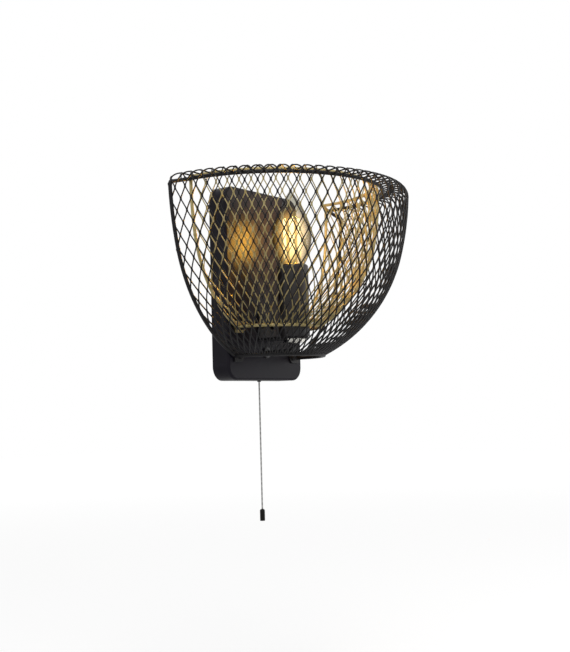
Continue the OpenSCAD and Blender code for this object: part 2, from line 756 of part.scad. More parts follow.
module holder_shell() color("#d9b45a") translate([0, -lamp_y, socket_floor + 3]) difference() {
    cylinder(d = shell_od, h = body_top - socket_floor - 3, $fn = 64);
    translate([0, 0, -eps]) cylinder(d = shell_id, h = body_top - socket_floor, $fn = 64);
}

module holder_contact() color("#d9b45a") translate([-2.5, -lamp_y - 2, socket_floor])
    cube([5, 4, contact_z - socket_floor]);

module bulb_cap() color("#d8d8d2") translate([0, -lamp_y, cap_bottom]) difference() {
    cylinder(d = cap_d, h = cap_l, $fn = 64);
    translate([0, 0, 1]) cylinder(d = cap_d - 2 * shell_t, h = cap_l, $fn = 64);
    translate([0, 0, -eps]) cylinder(d = 7, h = 2, $fn = 48);
}

module bulb_insulator() color("#101010") translate([0, -lamp_y, cap_bottom]) {
    translate([0, 0, -insulator_h]) cylinder(d1 = 6, d2 = 10.5, h = insulator_h, $fn = 48);
    translate([0, 0, -insulator_h - button_h]) cylinder(d = 5, h = button_h, $fn = 48);
}

belly_power = 2.3;
ogive_power = 1.58;
tip_r = 1.6;
neck_end_d = 11.8;

// Radius of the glass at a height above the lampholder's top
function glass_r(h) =
    h < bulb_belly_h
        ? bulb_d / 2 - (bulb_d - bulb_neck_d) / 2 * pow((bulb_belly_h - h) / bulb_belly_h, belly_power)
        : bulb_d / 2 * (1 - pow((h - bulb_belly_h) / (bulb_tip_h - bulb_belly_h), ogive_power));

glass_steps = 28;
glass_top = bulb_tip_h - 1.2;

function glass_outline(inset) = concat(
    [[neck_end_d / 2 - inset, cap_top - holder_top]],
    [for (i = [0:glass_steps]) let (h = i / glass_steps * (glass_top - inset)) [glass_r(h) - inset * 0.9, h]]
);

module glass_solid(inset) rotate_extrude($fn = 96) {
    line = glass_outline(inset);
    top = line[len(line) - 1];
    polygon(concat([[0, line[0].y]], line, [[0, top.y]]));
    intersection() {
        translate([0, top.y - 0.4]) circle(r = tip_r - inset / 2, $fn = 32);
        translate([0, top.y - 3]) square([3, 6]);
    }
}

module bulb_glass() color([0.95, 0.9, 0.8, 0.35]) translate([0, -lamp_y, holder_top]) difference() {
    glass_solid(0);
    translate([0, 0, -0.01]) glass_solid(glass_t);
}

stem_top = 3;
holder_disc_t = 0.8;

module bulb_stem() color([0.9, 0.9, 0.9, 0.6]) translate([0, -lamp_y, holder_top]) {
    translate([0, 0, cap_top - holder_top]) {
        cylinder(d = 5, h = stem_top + holder_top - cap_top, $fn = 48);
        cylinder(d1 = neck_end_d - 2 * glass_t - clear, d2 = 5, h = 4, $fn = 48);
    }
    translate([0, 0, stem_top]) cylinder(d = 1.6, h = filament_l + 3, $fn = 32);
    for (z = [stem_top, stem_top + filament_l + 1])
        translate([0, 0, z]) cylinder(r = filament_r + 0.6, h = holder_disc_t, $fn = 48);
}

module filaments() color("#ffb545") translate([0, -lamp_y, holder_top + stem_top + holder_disc_t])
    for (i = [0:filament_count - 1])
        rotate([0, 0, 360 / filament_count * (i + 0.5)])
            translate([filament_r - 0.7, 0, 0]) cylinder(d = 1.2, h = filament_l + 0.2, $fn = 24);

module switch_case() color("#d9d5c8") difference() {
    translate([-switch_w / 2, switch_front, switch_floor]) cube([switch_w, switch_d, switch_h]);
    translate([-switch_w / 2 + switch_wall, switch_front + switch_wall, switch_floor + switch_wall])
        cube([switch_w - 2 * switch_wall, switch_d, switch_h - 2 * switch_wall]);
    translate([0, -cord_y, switch_floor - eps])
        cylinder(d = cord_d + 2 * loose, h = switch_wall + 2 * eps, $fn = 32);
}

module switch_lid() color("#d9d5c8") {
    translate([-switch_w / 2, switch_back, switch_floor]) cube([switch_w, switch_wall, switch_h]);
    translate([0, switch_back, ratchet_z])
        rotate([90, 0, 0]) cylinder(d = pin_d, h = switch_back - ratchet_front - clear, $fn = 32);
}

module switch_contacts() color("#c9a14a")
    for (side = [-1, 1])
        translate([side * way_gap - 0.4, switch_back - 5, switch_floor + switch_wall + clear])
            cube([0.8, 4, switch_h - 2 * switch_wall - 2 * clear]);

module switch_slider() color("#b04030")
    translate([-slider_w / 2, -cord_y - slider_t / 2, slider_top - slider_h])
        cube([slider_w, slider_t, slider_h]);

module switch_ratchet() color("#e0dccf") translate([0, ratchet_front, ratchet_z]) rotate([-90, 0, 0])
    difference() {
        linear_extrude(ratchet_t) {
            circle(d = ratchet_d - 2, $fn = 48);
            for (i = [0:ratchet_teeth - 1])
                rotate(360 / ratchet_teeth * i)
                    polygon([[0, 0], [ratchet_d / 2, 0], [ratchet_d / 2 * 0.62, ratchet_d / 2 * 0.52]]);
        }
        translate([0, 0, -eps]) cylinder(d = pin_d + 2 * run, h = ratchet_t + 2 * eps, $fn = 32);
    }

module cord_bush() color("#1c1b1d") translate([0, -cord_y, 0]) difference() {
    union() {
        translate([0, 0, bush_end]) cylinder(d = bush_d, h = bush_proud + cover_wall, $fn = 32);
        translate([0, 0, floor_z + cover_wall]) cylinder(d = bush_lip_d, h = bush_lip_t, $fn = 32);
    }
    translate([0, 0, bush_end - eps])
        cylinder(d = cord_d + 2 * loose, h = bush_proud + cover_wall + bush_lip_t + 2 * eps, $fn = 32);
}

module cord_tail() color("#9b9b99") translate([0, -cord_y, bush_end])
    cylinder(d = cord_d, h = cord_top - bush_end, $fn = 16);

function cord_ring(i) = [
    for (s = [0:cord_sides - 1])
        cord_route[i] + cord_d / 2 * [cos(360 * s / cord_sides), sin(360 * s / cord_sides), 0]
];

module pull_cord() color("#9b9b99") {
    rings = len(cord_route);
    n = cord_sides;
    polyhedron(
        points = [for (i = [0:rings - 1]) each cord_ring(i)],
        faces = concat(
            [for (s = [1:n - 2]) [0, s, s + 1]],
            [for (s = [1:n - 2]) let (b = (rings - 1) * n) [b, b + s + 1, b + s]],
            [
                for (i = [0:rings - 2], s = [0:n - 1])
                    let (a = i * n + s, b = i * n + (s + 1) % n)
                    each two_triangles(a, a + n, b + n, b)
            ]
        )
    );
}

module cord_bob() color("#1c1b1d") translate([0, -cord_y, cord_end.z - bob_l]) rotate_extrude($fn = 48) {
    shoulder = bob_d / 2 - 0.4;
    square([bob_d / 2, bob_l - shoulder]);
    square([bob_d / 2 - shoulder, bob_l]);
    intersection() {
        translate([bob_d / 2 - shoulder, bob_l - shoulder]) circle(r = shoulder, $fn = 32);
        translate([0, bob_l - shoulder]) square([bob_d, bob_d]);
    }
}

wall_bracket();
cover();
cover_screws();
earth_screw();
terminal_block();
terminal_screws();
outer_mesh();
outer_top_ring();
outer_side_wires();
outer_bottom_ring();
inner_mesh();
inner_top_ring();
inner_side_wires();
inner_bottom_ring();
shade_screws();
shade_nuts();
lamp_arm();
arm_screws();
arm_nuts();
nipple();
nipple_nut();
lead_grommet();
holder_lead();
switch_leads();
holder_body();
holder_sleeve();
holder_shell();
holder_contact();
bulb_cap();
bulb_insulator();
bulb_glass();
bulb_stem();
filaments();
switch_case();
switch_lid();
switch_contacts();
switch_slider();
switch_ratchet();
cord_bush();
cord_tail();
pull_cord();
cord_bob();
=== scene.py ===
# %% [markdown]
# A wall lamp with two bowls of expanded metal, one inside the other, in front of a flat steel cover. The
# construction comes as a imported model, in metres, with +Z up and the wall at y = 0. This lesson gives it
# its looks: the pieces whose shape matters to the eye are modelled again in finer detail, exactly where the
# model has them, and every piece gets a material that is worked out by nodes.

# %% The frame
import functools
import math

import bmesh
import bpy
from mathutils import Matrix, Vector


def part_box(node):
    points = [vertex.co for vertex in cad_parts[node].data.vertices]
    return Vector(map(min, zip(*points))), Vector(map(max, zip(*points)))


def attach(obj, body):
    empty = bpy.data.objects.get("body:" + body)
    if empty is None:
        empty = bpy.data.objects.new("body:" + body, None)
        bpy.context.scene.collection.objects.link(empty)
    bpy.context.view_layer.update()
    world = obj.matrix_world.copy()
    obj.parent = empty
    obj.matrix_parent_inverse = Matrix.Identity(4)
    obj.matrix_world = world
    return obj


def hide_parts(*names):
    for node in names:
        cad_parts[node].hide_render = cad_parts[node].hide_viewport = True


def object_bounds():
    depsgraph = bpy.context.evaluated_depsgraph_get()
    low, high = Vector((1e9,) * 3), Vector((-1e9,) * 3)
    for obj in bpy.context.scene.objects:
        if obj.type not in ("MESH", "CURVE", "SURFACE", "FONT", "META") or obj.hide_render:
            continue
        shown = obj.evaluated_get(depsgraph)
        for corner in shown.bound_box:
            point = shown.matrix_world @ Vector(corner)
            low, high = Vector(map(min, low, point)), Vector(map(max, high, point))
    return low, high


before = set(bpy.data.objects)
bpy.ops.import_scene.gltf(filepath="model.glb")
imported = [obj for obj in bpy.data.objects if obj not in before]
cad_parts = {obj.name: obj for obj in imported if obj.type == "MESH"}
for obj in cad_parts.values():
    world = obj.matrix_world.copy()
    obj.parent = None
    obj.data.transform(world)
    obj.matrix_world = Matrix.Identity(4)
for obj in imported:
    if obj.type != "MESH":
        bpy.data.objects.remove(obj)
cad_low, cad_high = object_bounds()
MM = 0.001
print("model box in mm", [round(v / MM, 1) for v in (*cad_low, *cad_high)])


# %% [markdown]
# The camera stands to the left of the lamp, a little below its rim, and looks slightly up. Its lens and
# place were worked out from the corners of the cover, the rings and the crossings of the mesh. A lens
# length in pixels becomes millimetres once it is divided by the picture's width and multiplied by the
# sensor's.

# %% The camera
picture_w = 570
lens_px = 1085.9
camera_place = Vector((-0.7675, -0.5989, -0.1065))
camera_turn = math.radians(-53.897)
camera_rise = math.radians(4.177)
camera_roll = math.radians(-1.56)
sensor_w = 36


def into_scene(name, data):
    """A new object in the scene."""
    made = bpy.data.objects.new(name, data)
    bpy.context.scene.collection.objects.link(made)
    return made


forward = Vector((
    -math.sin(camera_turn) * math.cos(camera_rise),
    math.cos(camera_turn) * math.cos(camera_rise),
    math.sin(camera_rise),
))
level_right = forward.cross(Vector((0, 0, 1))).normalized()
level_up = level_right.cross(forward)
right = math.cos(camera_roll) * level_right + math.sin(camera_roll) * level_up
up = math.cos(camera_roll) * level_up - math.sin(camera_roll) * level_right

camera = into_scene("camera", bpy.data.cameras.new("camera"))
camera.data.sensor_fit = "HORIZONTAL"
camera.data.sensor_width = sensor_w
camera.data.lens = lens_px / picture_w * sensor_w
turned_axes = Matrix((right, up, -forward)).transposed().to_4x4()
camera.matrix_world = Matrix.Translation(camera_place) @ turned_axes
bpy.context.scene.camera = camera
print("lens in mm", round(camera.data.lens, 1))


# %% [markdown]
# Most pieces that are modelled again are built vertex by vertex. These helpers turn points and faces into a
# mesh, and a mesh into a piece that rides on a body of the model. Faces point outwards, and smooth shading
# is kept from running over real edges by marking those sharp.

# %% Making pieces
SHARP = math.radians(35)
TINY = 1e-7  # metres: points that are closer are one point


def middle(node):
    """The middle of a node's box."""
    low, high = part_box(node)
    return (low + high) / 2


def soften(shape):
    """Smooth faces, with every edge that turns more than SHARP kept crisp."""
    for face in shape.faces:
        face.smooth = True
    for edge in shape.edges:
        if len(edge.link_faces) == 2:
            edge.smooth = edge.calc_face_angle(0) < SHARP


def mesh_of(name, points, faces):
    """A mesh from points and faces, with its doubles merged and its faces turned outwards."""
    shape = bmesh.new()
    verts = [shape.verts.new(p) for p in points]
    for face in faces:
        shape.faces.new([verts[i] for i in face])
    bmesh.ops.remove_doubles(shape, verts=shape.verts, dist=TINY)
    bmesh.ops.recalc_face_normals(shape, faces=shape.faces)
    mesh = bpy.data.meshes.new(name)
    soften(shape)
    shape.to_mesh(mesh)
    shape.free()
    return mesh


def finished(name, mesh, finish, body, stands_for):
    """Puts a mesh into the scene as a piece on a body, with its finish and the node that it stands for."""
    piece = into_scene(name, mesh)
    mesh.materials.clear()
    mesh.materials.append(finish)
    mesh.polygons.foreach_set("material_index", [0] * len(mesh.polygons))
    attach(piece, body)
    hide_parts(stands_for)
    print(name, len(mesh.polygons), "faces")
    return piece


lamp_axis = middle("nipple")
cord_axis = middle("cord_tail")
print("axes in mm", [round(v / MM, 1) for v in (*lamp_axis[:2], *cord_axis[:2])])


# %% [markdown]
# Round pieces are turned, as on a lathe: an outline of radius and height goes round an upright axis. No
# turned or moulded edge is truly sharp, so a second helper rounds the outline's corners first. Corner, arc
# and arc's middle form a kite, which gives the distances.

# %% The lathe
def rounded(corners, steps=5):
    """An outline with round corners. A corner is (radius, height, rounding), and 0 keeps it sharp."""
    out = []
    for i, (x, z, size) in enumerate(corners):
        here = Vector((x, z))
        if size == 0:
            out.append((x, z))
            continue
        before = (Vector(corners[i - 1][:2]) - here).normalized()
        after = (Vector(corners[(i + 1) % len(corners)][:2]) - here).normalized()
        half = before.angle(after) / 2
        reach = size / math.tan(half)
        hub = here + (before + after).normalized() * size / math.sin(half)
        first, last = here + before * reach - hub, here + after * reach - hub
        sweep = first.angle_signed(last)
        for k in range(steps + 1):
            turned = Matrix.Rotation(-sweep * k / steps, 2) @ first
            out.append(tuple(hub + turned))
    return out


def lathe(name, outline, centre, sides):
    """Solid of revolution round an upright axis. The outline is a loop of (radius, height) in metres."""
    points = []
    for i in range(sides):
        a = 2 * math.pi * i / sides
        points += [(centre[0] + r * math.cos(a), centre[1] + r * math.sin(a), z) for r, z in outline]
    n = len(outline)
    faces = []
    for i in range(sides):
        for k in range(n):
            a, b = i * n + k, i * n + (k + 1) % n
            c, d = (i + 1) % sides * n + (k + 1) % n, (i + 1) % sides * n + k
            on_axis = [outline[k][0] < TINY, outline[(k + 1) % n][0] < TINY]
            if all(on_axis):
                continue
            if on_axis[0]:
                faces.append((k, b, c))
            elif on_axis[1]:
                faces.append((a, (k + 1) % n, d))
            else:
                faces.append((a, b, c, d))
    used = sorted({i for f in faces for i in f})
    place = {old: new for new, old in enumerate(used)}
    return mesh_of(name, [points[i] for i in used], [[place[i] for i in f] for f in faces])


print("points of a rounded square", len(rounded([(0, 0, 1), (4, 0, 1), (4, 4, 1), (0, 4, 1)])))


# %% [markdown]
# A finish is a small tree of nodes. Its colours are written as sRGB hex values, as a painter's chart gives
# them, and Blender's shaders want linear light, so one function does the conversion. One more function adds
# a node of any kind, sets its values and links its inputs, which keeps each recipe short.

# %% Helpers for materials
def linear(code):
    """Linear RGBA from an sRGB hex code, by the formula of the sRGB standard."""
    parts = [int(code[i:i + 2], 16) / 255 for i in (1, 3, 5)]
    return (*[p / 12.92 if p <= 0.04045 else ((p + 0.055) / 1.055) ** 2.4 for p in parts], 1)


def add(tree, kind, *values, stops=(), **settings):
    """Adds a node. Values fill its inputs in turn, or by name where they come as a dictionary.

    A value that is a node stands for that node's first output. Settings are the node's properties, and stops
    are the (position, hex colour) pairs of a colour ramp.
    """
    made = tree.nodes.new(kind)
    for key, value in settings.items():
        setattr(made, key, value)
    for i, (position, code) in enumerate(stops):
        made.color_ramp.elements[i].position = position
        made.color_ramp.elements[i].color = linear(code)
    by_name = values and isinstance(values[0], dict)
    for key, value in (values[0] if by_name else dict(enumerate(values))).items():
        if isinstance(value, bpy.types.Node):
            value = value.outputs[0]
        if isinstance(value, bpy.types.NodeSocket):
            tree.links.new(value, made.inputs[key])
        else:
            made.inputs[key].default_value = value
    return made


def new_finish(name):
    """An empty material, its tree and its Object coordinates."""
    material = bpy.data.materials.new(name)
    material.use_nodes = True
    tree = material.node_tree
    tree.nodes.clear()
    return material, tree, add(tree, "ShaderNodeTexCoord").outputs["Object"]


print("mid grey in linear light", round(linear("#808080")[0], 3))


# %% [markdown]
# Powder coat is a plastic powder that is baked on to steel. It flows into a skin with a faint orange-peel
# ripple, about a millimetre from crest to crest, and a satin sheen. The ripple is a bump, and a slow change
# of roughness keeps the large faces from looking printed.

# %% Black powder coat
def powder_coat(name, dark, light, roughness, specular):
    """Powder coat on steel: peel 1 mm from crest to crest, blotches 12 mm across."""
    material, tree, place = new_finish(name)
    peel = add(tree, "ShaderNodeTexNoise", {"Vector": place, "Scale": 1 / (1.0 * MM), "Detail": 2})
    blotches = add(tree, "ShaderNodeTexNoise", {"Vector": place, "Scale": 1 / (12 * MM), "Detail": 4})
    skin = add(tree, "ShaderNodeBsdfPrincipled", {
        "Base Color": add(tree, "ShaderNodeValToRGB", blotches, stops=[(0.3, dark), (0.7, light)]),
        "Roughness": add(tree, "ShaderNodeMapRange", blotches, 0.0, 1.0, roughness - 0.04, roughness + 0.05),
        "Specular IOR Level": specular,
        "Normal": add(tree, "ShaderNodeBump", {"Strength": 0.35, "Distance": 0.02 * MM, "Height": peel}),
    })
    add(tree, "ShaderNodeOutputMaterial", skin)
    print("finish:", name)
    return material


black_plate = powder_coat("satin black powder coat on the cover", "#100e15", "#15131b", 0.37, 0.11)
black_wire = powder_coat("satin black powder coat on wire", "#121113", "#171618", 0.42, 0.2)


# %% [markdown]
# The inner bowl is steel with a gold lacquer over a bright base. Lacquer settles thicker in places, so the
# gold runs from pale to deep, and the metal under it has fine drawing lines. From the camera's place these
# lines are finer than a pixel: they show in close views, and from afar they only soften the gloss.

# %% Gold lacquer
def gold_lacquer(name):
    """Gold lacquer on bright steel: deeper and paler patches 4 mm across, drawing lines 0.3 mm apart."""
    material, tree, place = new_finish(name)
    patches = add(tree, "ShaderNodeTexNoise", {"Vector": place, "Scale": 1 / (4 * MM), "Detail": 3})
    lines = add(tree, "ShaderNodeTexNoise", {"Vector": place, "Scale": 1 / (0.3 * MM), "Detail": 2})
    skin = add(tree, "ShaderNodeBsdfPrincipled", {
        "Base Color": add(tree, "ShaderNodeValToRGB", patches, stops=[(0.3, "#a0915f"), (0.7, "#bdb087")]),
        "Metallic": 1.0,
        "Roughness": add(tree, "ShaderNodeMapRange", lines, 0.0, 1.0, 0.5, 0.62),
        "Normal": add(tree, "ShaderNodeBump", {"Strength": 0.3, "Distance": 0.01 * MM, "Height": lines}),
    })
    add(tree, "ShaderNodeOutputMaterial", skin)
    print("finish:", name)
    return material


gold = gold_lacquer("gold lacquer on steel")


# %% [markdown]
# The pieces behind the cover are bare fittings: zinc-plated steel with its grey spangle, brass terminals
# and a nickel-plated bulb cap. They are hidden while the lamp hangs, but a lamp that is taken off its wall
# shows them. Plating grows in crystals, each a little lighter or darker and smoother or rougher than the
# next.

# %% Plated and bare metals
def plated(name, dark, light, crystal, roughness):
    """Bare or plated metal, with crystals of the given size."""
    material, tree, place = new_finish(name)
    crystals = add(tree, "ShaderNodeTexVoronoi", {"Vector": place, "Scale": 1 / crystal}).outputs["Color"]
    tone = add(tree, "ShaderNodeSeparateColor", crystals)
    grain = add(tree, "ShaderNodeTexNoise", {"Vector": place, "Scale": 1 / (0.5 * MM), "Detail": 3})
    skin = add(tree, "ShaderNodeBsdfPrincipled", {
        "Base Color": add(tree, "ShaderNodeValToRGB", tone, stops=[(0.0, dark), (1.0, light)]),
        "Metallic": 1.0,
        "Roughness": add(tree, "ShaderNodeMapRange", tone, 0.0, 1.0, roughness - 0.06, roughness + 0.06),
        "Normal": add(tree, "ShaderNodeBump", {"Strength": 0.4, "Distance": 0.01 * MM, "Height": grain}),
    })
    add(tree, "ShaderNodeOutputMaterial", skin)
    print("finish:", name)
    return material


zinc = plated("bright zinc on steel", "#a4a8ae", "#c6c9cd", 2.5 * MM, 0.35)
brass = plated("turned brass", "#b08d45", "#cda75c", 1.2 * MM, 0.28)
nickel = plated("nickel plate on brass", "#c4c2bb", "#dddbd4", 1.0 * MM, 0.22)


# %% [markdown]
# The lampholder, the bush, the bob and the switch are moulded plastics. A mould leaves a fine, even grain
# that breaks up the reflections, and the colour hardly changes over a piece. The bob is duller than the
# holder.

# %% Moulded plastics
def moulded(name, dark, light, grain, roughness, specular=0.5):
    """Moulded plastic whose skin has a grain of the given size."""
    material, tree, place = new_finish(name)
    tone = add(tree, "ShaderNodeTexNoise", {"Vector": place, "Scale": 1 / (8 * MM), "Detail": 3})
    skin_grain = add(tree, "ShaderNodeTexNoise", {"Vector": place, "Scale": 1 / grain, "Detail": 2})
    skin = add(tree, "ShaderNodeBsdfPrincipled", {
        "Base Color": add(tree, "ShaderNodeValToRGB", tone, stops=[(0.3, dark), (0.7, light)]),
        "Roughness": add(tree, "ShaderNodeMapRange", tone, 0.0, 1.0, roughness - 0.04, roughness + 0.04),
        "Specular IOR Level": specular,
        "Normal": add(tree, "ShaderNodeBump", {"Strength": 0.3, "Distance": 0.02 * MM, "Height": skin_grain}),
    })
    add(tree, "ShaderNodeOutputMaterial", skin)
    print("finish:", name)
    return material


phenolic = moulded("black phenolic moulding", "#141315", "#1c1b1d", 0.6 * MM, 0.38)
bob_black = moulded("matt black ABS moulding", "#0d0c0b", "#141312", 0.6 * MM, 0.35, 0.12)
nylon = moulded("cream nylon moulding", "#d8d3c4", "#e6e1d2", 0.5 * MM, 0.5)
red_acetal = moulded("red acetal moulding", "#9c2f24", "#b0392c", 0.5 * MM, 0.4)
sheath = moulded("black PVC sheath", "#1a191b", "#232224", 0.8 * MM, 0.45)


# %% [markdown]
# The bulb is smoked glass. Its wall is too thin to bend the view, so each of its faces lets light straight
# through, a little darker towards the rim, where the way through the glass is longer, and mirrors more
# there. A faint haze takes up the glow of the filaments, and a painted glow, an emission in the glass itself,
# gives the soft shine that an eye sees round them; it is strongest where the glass faces the eye, at the
# filaments' height. Only the outside mirrors: the inside of the far wall would be a concave mirror for the
# lamps in the bulb.

# %% Glass
glow_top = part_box("filaments")[1].z
glow_fades = (glow_top - 8 * MM, glow_top + 10 * MM)
# The painted glow falls towards the rim as the haze does.
haze_and_glow_falloff, mirror_power = 3.0, 4.0  # how fast the haze falls towards the rim, and the mirror away from it
# Strength of the painted glow that the glass emits, though it is no lamp.
painted_glow_strength = 6.0
mirror_least = 0.05  # of the mirror's share at the rim
mirror_roughness = 0.12


def thin_glass(name, centre, rim, haze_and_glow, shine):
    """Thin glass. Its drawing marks, 6 mm apart, bend the mirror. Haze and shine are the most of each."""
    # The haze's share also sets that of the painted glow, which the glass emits though it is no lamp.
    material, tree, place = new_finish(name)
    rimward = add(tree, "ShaderNodeLayerWeight", {"Blend": 0.5}).outputs["Facing"]
    clear = add(tree, "ShaderNodeBsdfTransparent",
                add(tree, "ShaderNodeValToRGB", rimward, stops=[(0.2, centre), (0.95, rim)]))

    # The haze and the painted glow thin out towards the rim, and above the filaments
    facing = add(tree, "ShaderNodeMath", 1.0, rimward, operation="SUBTRACT")
    inward = add(tree, "ShaderNodeMath", facing, haze_and_glow_falloff, operation="POWER")
    height = add(tree, "ShaderNodeSeparateXYZ", place).outputs["Z"]
    near_glow = add(tree, "ShaderNodeMapRange", height, *glow_fades, 1.0, 0.0,
                    interpolation_type="SMOOTHSTEP")
    share = add(tree, "ShaderNodeMath", inward, near_glow, operation="MULTIPLY")
    milk = add(tree, "ShaderNodeBsdfTranslucent", linear("#fff2dc"))
    # Painted glow: the glass emits pale light here, though it is no lamp, for the shine round the filaments.
    painted_glow = add(tree, "ShaderNodeEmission", linear("#ffe898"), painted_glow_strength)
    hazy_with_painted_glow = add(tree, "ShaderNodeMixShader", add(tree, "ShaderNodeMapRange", share, 0.0, 1.0, 0.0, haze_and_glow),
               clear, add(tree, "ShaderNodeAddShader", milk, painted_glow))

    # On the outside the normal leads away from the lamp's axis
    outward = add(tree, "ShaderNodeVectorMath", place, lamp_axis, operation="SUBTRACT")
    level = add(tree, "ShaderNodeVectorMath", outward, (1, 1, 0), operation="MULTIPLY")
    normal = add(tree, "ShaderNodeNewGeometry").outputs["Normal"]
    side = add(tree, "ShaderNodeVectorMath", level, normal, operation="DOT_PRODUCT").outputs["Value"]
    outside = add(tree, "ShaderNodeMath", side, 0.0, operation="GREATER_THAN")
    steep = add(tree, "ShaderNodeMath", rimward, mirror_power, operation="POWER")
    share = add(tree, "ShaderNodeMapRange", steep, 0.0, 1.0, shine * mirror_least, shine)
    amount = add(tree, "ShaderNodeMath", outside, share, operation="MULTIPLY")
    marks = add(tree, "ShaderNodeTexNoise", {"Vector": place, "Scale": 1 / (6 * MM), "Detail": 1})
    wavy = add(tree, "ShaderNodeBump", {"Strength": 0.2, "Distance": 0.05 * MM, "Height": marks})
    mirror = add(tree, "ShaderNodeBsdfGlossy", {"Roughness": mirror_roughness, "Normal": wavy})
    add(tree, "ShaderNodeOutputMaterial", add(tree, "ShaderNodeMixShader", amount, hazy_with_painted_glow, mirror))
    print("finish:", name)
    return material


glass = thin_glass("smoked lamp glass with painted glow", "#ecebe6", "#a9a499", haze_and_glow=0.026, shine=0.35)
stem_glass = thin_glass("clear stem glass", "#fbfbf9", "#e9e7e1", haze_and_glow=0.0, shine=0.03)


# %% [markdown]
# The filaments are rods of phosphor. Lit, they show no surface any more, only light: pale and even, weaker
# at the lower ends, where less current flows through the last diodes, and a tenth stronger or weaker in
# patches.

# %% Phosphor
def glowing(name, colour, strength, dim_below, bright_above):
    """Phosphor in patches 8 mm long that glows with a quarter of its strength at its lower end."""
    material, tree, place = new_finish(name)
    height = add(tree, "ShaderNodeSeparateXYZ", place).outputs["Z"]
    share = add(tree, "ShaderNodeMapRange", height, dim_below, bright_above, 0.25, 1.0)
    patches = add(tree, "ShaderNodeTexNoise", {"Vector": place, "Scale": 1 / (8 * MM), "Detail": 1})
    local = add(tree, "ShaderNodeMapRange", patches, 0.0, 1.0, strength * 0.9, strength * 1.1)
    light = add(tree, "ShaderNodeEmission", linear(colour),
                add(tree, "ShaderNodeMath", share, local, operation="MULTIPLY"))
    add(tree, "ShaderNodeOutputMaterial", light)
    print("finish:", name)
    return material


phosphor = glowing("glowing phosphor", "#fff1b8", 2.2, dim_below=21 * MM, bright_above=34 * MM)


# %% [markdown]
# The pull cord is laid from three strands of grey nylon. A cord this thin is one narrow tube, so its
# strands are modelled as three lobes that wind round its line, one turn every 5 mm, and the yarn's fine lay
# is bump. The yarn is finer than a pixel from the camera's place, and shows in close views.

# %% The pull cord
cord_route = [
    (0, -0.009, -0.0851), (0, -0.009, -0.088), (0, -0.009, -0.092), (0, -0.009, -0.096), (0, -0.009, -0.100),
    (0, -0.009, -0.104), (0, -0.009, -0.108), (0, -0.009, -0.112), (0, -0.009, -0.116), (0, -0.009, -0.120),
    (0, -0.009, -0.124), (0, -0.009, -0.128), (0, -0.009, -0.132), (0, -0.009, -0.136), (0, -0.009, -0.140),
    (0, -0.009, -0.144), (0, -0.009, -0.148), (0, -0.009, -0.152), (0, -0.009, -0.156), (0, -0.009, -0.160),
    (0, -0.009, -0.164), (0, -0.009, -0.168), (0, -0.009, -0.172), (0, -0.009, -0.176), (0, -0.009, -0.180),
    (0, -0.009, -0.184), (0, -0.009, -0.188), (0, -0.009, -0.192), (0, -0.009, -0.1971),
]
cord_d = 1.4 * MM
cord_sides = 18
ring_gap = 0.5 * MM
strands = 3
lay_l = 5 * MM
lobe_depth = 0.1  # of the cord's radius


def cord_finish(name):
    """Grey nylon yarn: a fine lay, 0.35 mm from yarn to yarn."""
    material, tree, place = new_finish(name)
    yarn = add(tree, "ShaderNodeTexWave", {"Vector": place, "Scale": 0.05 / (0.35 * MM), "Distortion": 1.0},
               bands_direction="DIAGONAL").outputs["Fac"]
    skin = add(tree, "ShaderNodeBsdfPrincipled", {
        "Base Color": add(tree, "ShaderNodeValToRGB", yarn, stops=[(0.0, "#7d7d7b"), (1.0, "#a3a3a1")]),
        "Roughness": 0.7,
        "Sheen Weight": 0.3,
        "Normal": add(tree, "ShaderNodeBump", {"Strength": 0.5, "Distance": 0.03 * MM, "Height": yarn}),
    })
    add(tree, "ShaderNodeOutputMaterial", skin)
    print("finish:", name)
    return material


def laid_cord(name, route):
    """Tube down a straight route, with lobes that turn as it goes."""
    top, bottom = route[0][2], route[-1][2]
    rings = round((top - bottom) / ring_gap)
    points = []
    for i in range(rings + 1):
        z = top + (bottom - top) * i / rings
        for s in range(cord_sides):
            a = 2 * math.pi * s / cord_sides
            lobe = abs(math.sin(strands / 2 * (a - 2 * math.pi * (top - z) / lay_l)))
            r = cord_d / 2 * (1 - lobe_depth + lobe_depth * lobe)
            points.append((route[0][0] + r * math.cos(a), route[0][1] + r * math.sin(a), z))
    faces = [tuple(range(cord_sides)), tuple(range(rings * cord_sides, (rings + 1) * cord_sides))]
    for i in range(rings):
        for s in range(cord_sides):
            a, b = i * cord_sides + s, i * cord_sides + (s + 1) % cord_sides
            faces.append((a, b, b + cord_sides, a + cord_sides))
    return mesh_of(name, points, faces)


grey_nylon = cord_finish("grey nylon cord")
cord = finished("pull_cord_laid", laid_cord("pull_cord_laid", cord_route), grey_nylon,
                "pull", "pull_cord")


# %% [markdown]
# The bob is a turned cylinder with a rounded shoulder, which the cord enters, and a foot that is hardly
# broken.

# %% The bob
bob_low, bob_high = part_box("cord_bob")
bob_r = (bob_high.x - bob_low.x) / 2
bob_sides = 48
bob_outline = rounded([
    (0, bob_low.z, 0), (bob_r, bob_low.z, 0.3 * MM), (bob_r, bob_high.z, 1.5 * MM), (0, bob_high.z, 0),
])
bob = finished("bob_turned", lathe("bob_turned", bob_outline, cord_axis, bob_sides), bob_black,
               "pull", "cord_bob")


# %% [markdown]
# Expanded metal starts as a plain sheet. A press slits it in staggered rows and pulls it open, so every cut
# becomes a diamond, and the metal stays whole: strands run from node to node, and each node is as wide as a
# strand and a half. The same happens here. One node with its four half strands is modelled once. Geometry
# Nodes stand it on a flat grid, bend the grid on to the bowl and weld the copies where their strands meet,
# so the bowl becomes one closed skin without any joint that shows.

